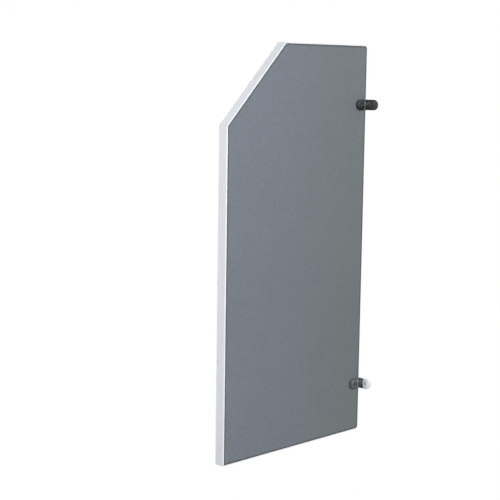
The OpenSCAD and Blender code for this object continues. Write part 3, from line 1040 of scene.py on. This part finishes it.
def bracket_finish(name, board_leg_as_lit, wall_leg_as_lit, rim, whitening, end_highlight):
    """Dark plated metal, polished along the strip, duller towards its rims and round its holes. Its rims are
    drawn dark as a painted reflection, its bend is darkened as painted shade, and a pale line beside it is a
    painted highlight.

    board_leg_as_lit and wall_leg_as_lit are the colours of its legs, each painted for the light that leg
    gets;
    whitening is how much limescale lies on it, and end_highlight how much painted highlight lies on the outer
    half of the wall leg, with a ragged patch of painted white glare at its end.
    """
    material, tree, shader = new_material(name)
    place, strip, inset = object_place(tree), attribute(tree, "strip"), attribute(tree, "inset", "Fac")
    along, _, height_on_strip = parts_of(tree, strip)
    polished = ramp(tree, product(tree, inset, clouds(tree, place, (350.0, 2.0, 0.25))), 1.6 * MM, 4.4 * MM)
    brushed = use(tree, STREAKY, strip, Along=45.0, Across=2400.0, Amount=0.12)
    hairlines = use(tree, SCRATCHED, strip, Scale=420.0, Width=0.008, Share=0.42)
    beside_hole = attribute(tree, "beside_hole", "Fac")
    grime = use(tree, GRIMY, place, Distance=beside_hole, Reach=1.3 * MM, Scale=900.0)
    # Painted shade: the bend is drawn darker in its crease, and rougher.
    from_fold = maths(tree, "ABSOLUTE", minus(tree, along, 1.0 * MM))
    fold_shade = ramp(tree, from_fold, 5.0 * MM, 8.0 * MM, 1.0, 0.0)

    cloud = noise_of(tree, place, 300.0, 4.0, 0.62)
    wander = maths(tree, "MULTIPLY_ADD", cloud, HIGHLIGHT_WANDER, along)
    # Painted highlight: a pale line on the board leg just before the bend, in the limescale's white.
    beside_highlight = maths(tree, "ABSOLUTE", plus(tree, wander, FOLD_HIGHLIGHT_AT))
    fold_highlight = product(
        tree, ramp(tree, beside_highlight, 0.2 * MM, 3.2 * MM, FOLD_HIGHLIGHT_STRENGTH, 0.0),
        ramp(tree, inset, 0.4 * MM, 4.0 * MM, 0.45, 1.0),
        ramp(tree, noise_of(tree, place, 210.0, 3.0), 0.36, 0.58, 0.50, 1.0),
    )
    # Painted highlight: the outer half of the wall leg is whitened, and its end is painted solid white as
    # glare.
    at_end = ramp(tree, wander, END_HIGHLIGHT_FROM, END_HIGHLIGHT_TO)
    lime_and_highlight = maths(tree, "MAXIMUM", maths(tree, "MULTIPLY_ADD", at_end, end_highlight, whitening), fold_highlight)
    lime_and_highlight = product(tree, lime_and_highlight, ramp(tree, cloud, 0.42, 0.64, 0.78, 1.0))
    # Where the painted white glare lies, with a ragged edge.
    ragged = maths(tree, "MULTIPLY_ADD", cloud, GLARE_WANDER, along)
    thick = ramp(tree, ragged, GLARE_FROM, GLARE_TO)
    glare_patches = ramp(tree, noise_of(tree, place, 520.0, 4.0, 0.6), 0.36, 0.56, 0.86, 1.0)
    lime_and_highlight = maths(tree, "MAXIMUM", lime_and_highlight, product(tree, thick, glare_patches, GLARE_STRENGTH * end_highlight))
    in_the_open = ramp(tree, height_on_strip, 0.3 * MM, 1.2 * MM)
    lime_and_highlight = maths(tree, "MINIMUM", product(tree, lime_and_highlight, in_the_open), 1.0)
    dust = use(tree, DUSTY, place, Scale=500.0, Amount=0.30)

    # Painted light and shade: each leg has its own colour, for the light it gets and what it reflects.
    legs = blend(tree, ramp(tree, along, LEG_FROM, LEG_TO), board_leg_as_lit, wall_leg_as_lit)
    # Painted reflection: the rim colour is a dark stand-in for the dark surroundings that the rims reflect.
    colour = shaded(
        tree, blend(tree, polished, rim, legs), brushed, clouds(tree, place, (120.0, 2.0, 0.10)),
        less(tree, grime, 0.5), less(tree, hairlines, -0.25), less(tree, fold_shade, 0.85),
    )
    colour = blend(tree, dust, colour, DUST_GREY)
    colour = blend(tree, lime_and_highlight, colour, blend(tree, thick, LIME_AND_HIGHLIGHT_WHITE, GLARE_WHITE))
    dull = maths(tree, "MAXIMUM", lime_and_highlight, dust)
    tree.links.new(less(tree, dull, 0.9), shader.inputs["Metallic"])
    roughness = product(
        tree, ramp(tree, polished, 0.0, 1.0, 0.42, 0.24), brushed, less(tree, grime, -0.6),
        less(tree, dull, -0.9), less(tree, fold_shade, -0.8),
    )
    height = maths(tree, "MULTIPLY_ADD", lime_and_highlight, 0.6, minus(tree, brushed, hairlines))
    coat_surface(tree, shader, colour, roughness, height, BRUSH_DEPTH)
    return material


def screw_finish(name, whitening):
    """Dark plated steel with turning rings round the screw, plating worn off in small spots, and painted
    shade in its recess.

    whitening is how much of the head is painted white, as a painted highlight in patches.
    """
    material, tree, shader = new_material(name)
    place = object_place(tree)
    x, y, z = parts_of(tree, attribute(tree, "own"))
    from_axis = maths(tree, "SQRT", plus(tree, product(tree, x, x), product(tree, y, y)))
    rings = use(tree, STREAKY, vector_of(tree, y=from_axis, z=z), Along=1.0, Across=3500.0, Amount=0.10)
    worn = ramp(tree, noise_of(tree, place, 900.0, 3.0), 0.54, 0.64)
    # Painted shade: the recess is drawn darker, less so on a whitened head, and rougher.
    recess_shade = product(
        tree, ramp(tree, z, -1.3 * MM, -0.4 * MM, 1.0, 0.0), ramp(tree, z, -HEAD_H - 0.3 * MM, -HEAD_H),
        ramp(tree, from_axis, RECESS_R, RECESS_R + 0.2 * MM, 1.0, 0.0),
    )
    # Painted highlight: patches of white over the head, as much as whitening asks.
    on_head = ramp(tree, z, -RECESS_DEPTH, -0.1 * MM, 0.5 * whitening, whitening)
    patchy = ramp(tree, noise_of(tree, place, 700.0, 4.0, 0.62), 0.40, 0.60, 0.75, 1.0)
    lime_and_highlight = product(tree, on_head, patchy)
    colour = shaded(
        tree, blend(tree, worn, SCREW_PLATED, SCREW_WORN), rings, clouds(tree, place, (400.0, 2.0, 0.08)),
        less(tree, recess_shade, 0.55 - 0.3 * whitening),
    )
    colour = blend(tree, lime_and_highlight, colour, LIME_AND_HIGHLIGHT_WHITE)
    tree.links.new(less(tree, lime_and_highlight, 0.95), shader.inputs["Metallic"])
    roughness = product(
        tree, 0.34, rings, less(tree, worn, -0.3), less(tree, recess_shade, -0.9), less(tree, lime_and_highlight, -1.0))
    coat_surface(tree, shader, colour, roughness, rings, RING_DEPTH)
    return material


def plug_finish():
    """Grey nylon with flow lines along the plug, a parting line and a dull, pitted skin."""
    material, tree, shader = new_material("grey_nylon")
    place = object_place(tree)
    x, y, z = parts_of(tree, attribute(tree, "own"))
    flow = use(tree, STREAKY, vector_of(tree, z, x, y), Along=60.0, Across=900.0, Amount=0.04)
    specks = use(tree, FLECKED, place, Scale=900.0, Share=0.12)
    seam = ramp(tree, maths(tree, "ABSOLUTE", x), 0.05 * MM, 0.16 * MM, 1.0, 0.0)
    colour = shaded(
        tree, NYLON_GREY, flow, less(tree, specks, -0.12), clouds(tree, place, (150.0, 2.0, 0.04)),
        less(tree, seam, 0.15),
    )
    roughness = product(tree, 0.5, clouds(tree, place, (500.0, 2.0, 0.10)))
    height = maths(tree, "MULTIPLY_ADD", seam, 0.8, use(tree, PEBBLED, place, Scale=1600.0))
    coat_surface(tree, shader, colour, roughness, height, SKIN_DEPTH)
    return material


laminate = laminate_finish()
pale_band = band_finish()
raw_core = particle_board_finish()
# The leg colours are painted light and shade, one per leg; the lower bracket's are painted lighter.
dark_metal = bracket_finish(
    "dark_plated_metal", board_leg_as_lit=(0.084, 0.103, 0.113, 1), wall_leg_as_lit=(0.141, 0.136, 0.140, 1),
    rim=(0.030, 0.033, 0.036, 1), whitening=0.02, end_highlight=0.05)
limed_highlit_metal = bracket_finish(
    "dark_plated_metal_limed", board_leg_as_lit=(0.177, 0.212, 0.230, 1), wall_leg_as_lit=(0.170, 0.196, 0.213, 1),
    rim=(0.060, 0.066, 0.071, 1), whitening=0.08, end_highlight=0.92)
plating = screw_finish("dark_plated_screw", whitening=0.0)
highlit_plating = screw_finish("dark_plated_screw_limed", whitening=0.85)
nylon = plug_finish()

# ---- The pieces ----------------------------------------------------------------------------------

for side, edge in (("front", FRONT), ("slanted", SLANTED), ("top", TOP), ("rear", REAR), ("bottom", BOTTOM)):
    build_band(side + "_edge_band", edge, pale_band)

screw_holes = [Vector((-HOLE_AT, middle_height(n))) for n in ("upper_bracket", "lower_bracket")]
build_sheet("right_face_sheet", FACE_X - SHEET_T, FACE_X, laminate, screw_holes)
build_sheet("left_face_sheet", SHEET_T - FACE_X, -FACE_X, laminate)
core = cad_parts["core_board"]
core.data.materials.clear()
core.data.materials.append(raw_core)

screws, plugs = screw_tree(), plug_tree()
for level, metal, wall_plating in (("upper", dark_metal, plating), ("lower", limed_highlit_metal, highlit_plating)):
    build_bracket(level + "_bracket", metal)
    build_screw(level + "_panel_screw", screws, Vector((1, 0, 0)), plating)
    build_screw(level + "_wall_screw", screws, Vector((0, -1, 0)), wall_plating)
    build_plug(level + "_wall_plug", plugs, nylon)

# ---- Stage, lights and camera ----------------------------------------------------------------------

SCREEN_MIDDLE = Vector((0, OUTLINE[BOTTOM].x / 2, 0))
FLOOR_Z = OUTLINE[BOTTOM].y - 0.4     # the screen hangs clear of the floor
FLOOR_LIFT = 0.79                     # how much brighter than lit the floor looks to the camera
WORLD_LEVEL = 0.345
STAGE_REACH = 12
WALL_GAP = 0.3 * MM
WHITE = (1, 1, 1, 1)
CAMERA_AZIMUTH = math.radians(43.97)
CAMERA_ELEVATION = math.radians(7.62)
CAMERA_ROLL = math.radians(0.84)
CAMERA_DISTANCE = 2.9136
CAMERA_ASIDE, CAMERA_ABOVE = -0.0969, -0.0041
LENS = 94.6
LAMPS = (     # name, place, size, power and colour
    ("face", (1.6, -0.2, 1.5), 0.8, 12.2, (0.87, 0.937, 1.0)),
    ("low", (1.4, -1.3, -0.3), 0.8, 5.2, (1.0, 0.91, 0.82)),
    ("front", (0.9, -1.5, 0.8), 0.8, 10.3, (1, 1, 1)),
    ("far_front", (0.5, -2.6, 0.4), 1.2, 6.7, (0.95, 0.965, 1.0)),
    ("far_side", (-1.8, 1.2, 1.0), 1.0, 30.0, (1, 1, 1)),
)


def place_camera():
    """Looks at the middle of the board's height and depth, from the photograph's side."""
    azimuth, elevation, roll = CAMERA_AZIMUTH, CAMERA_ELEVATION, CAMERA_ROLL
    level = Vector((math.cos(azimuth), math.sin(azimuth), 0))
    flat_back = Vector((math.sin(azimuth), -math.cos(azimuth), 0))
    back = flat_back * math.cos(elevation) + Vector((0, 0, math.sin(elevation)))
    upright = back.cross(level)
    right = level * math.cos(roll) + upright * math.sin(roll)
    up = upright * math.cos(roll) - level * math.sin(roll)
    place = SCREEN_MIDDLE + back * CAMERA_DISTANCE + right * CAMERA_ASIDE + up * CAMERA_ABOVE
    camera = put_in_scene("camera", bpy.data.cameras.new("camera"))
    camera.data.lens = LENS
    camera.data.clip_start, camera.data.clip_end = 0.05, 50
    camera.matrix_world = Matrix.Translation(place) @ Matrix((right, up, back)).transposed().to_4x4()
    bpy.context.scene.camera = camera


def soft_light(name, place, size, power, colour):
    """A square softbox that the camera doesn't see, turned to the screen."""
    light = put_in_scene(name, bpy.data.lights.new(name, "AREA"))
    light.data.shape = "SQUARE"
    light.data.size = size
    light.data.energy = power
    light.data.color = colour
    light.location = place
    light.rotation_euler = (SCREEN_MIDDLE - Vector(place)).to_track_quat("-Z", "Y").to_euler()
    light.visible_camera = False


def pale_world():
    """A white surround to the camera and in reflections, that lights the object more weakly."""
    world = bpy.data.worlds.new("pale surround")
    bpy.context.scene.world = world
    tree = blank_tree(world)
    path = tree.nodes.new("ShaderNodeLightPath").outputs
    seen = plus(tree, path["Is Camera Ray"], path["Is Glossy Ray"])
    seen = maths(tree, "ADD", seen, path["Is Transmission Ray"], clamp=True)
    levels = {"Value": seen, "To Min": WORLD_LEVEL, "To Max": 1.0}
    strength = add(tree, "ShaderNodeMapRange", levels).outputs[0]
    glow = add(tree, "ShaderNodeBackground", {"Color": WHITE, "Strength": strength})
    end_with(tree, "ShaderNodeOutputWorld", glow.outputs[0])


def stage_plane(name, material, to_stage):
    """A large square of the stage, moved and turned from the plane Z = 0."""
    bm = bmesh.new()
    bmesh.ops.create_grid(bm, x_segments=8, y_segments=8, size=STAGE_REACH)
    bm.transform(to_stage)
    plane = put_in_scene(name, mesh_of(bm, name))
    plane.data.materials.append(material)


def pale_floor():
    """A plain floor that looks white and keeps the object's shadow."""
    constants = {"Base Color": (0.65, 0.65, 0.65, 1), "Emission Color": WHITE}
    material, tree, shader = new_material("pale_floor", Roughness=0.9, **constants)
    path = tree.nodes.new("ShaderNodeLightPath").outputs
    lift = product(tree, path["Is Camera Ray"], FLOOR_LIFT)
    tree.links.new(lift, shader.inputs["Emission Strength"])
    stage_plane("floor", material, Matrix.Translation((0, 0, FLOOR_Z)))


def white_backdrop():
    """A white wall just behind the screen, which only the camera sees, and only from the front."""
    material = bpy.data.materials.new("white_backdrop")
    tree = blank_tree(material)
    path = tree.nodes.new("ShaderNodeLightPath").outputs
    surface = tree.nodes.new("ShaderNodeNewGeometry").outputs
    seen = product(tree, path["Is Camera Ray"], minus(tree, 1.0, surface["Backfacing"]))
    white = add(tree, "ShaderNodeEmission", {"Color": WHITE, "Strength": 1.0}).outputs[0]
    clear = add(tree, "ShaderNodeBsdfTransparent", {"Color": WHITE}).outputs[0]
    mix = add(tree, "ShaderNodeMixShader", {0: seen, 1: clear, 2: white})
    end_with(tree, "ShaderNodeOutputMaterial", mix.outputs[0])
    upright = Matrix.Translation((0, WALL_GAP, FLOOR_Z + STAGE_REACH)) @ Matrix.Rotation(math.pi / 2, 4, "X")
    stage_plane("backdrop", material, upright)


pale_world()
pale_floor()
white_backdrop()
for lamp in LAMPS:
    soft_light(*lamp)
place_camera()
bpy.context.scene.view_settings.view_transform = "Standard"
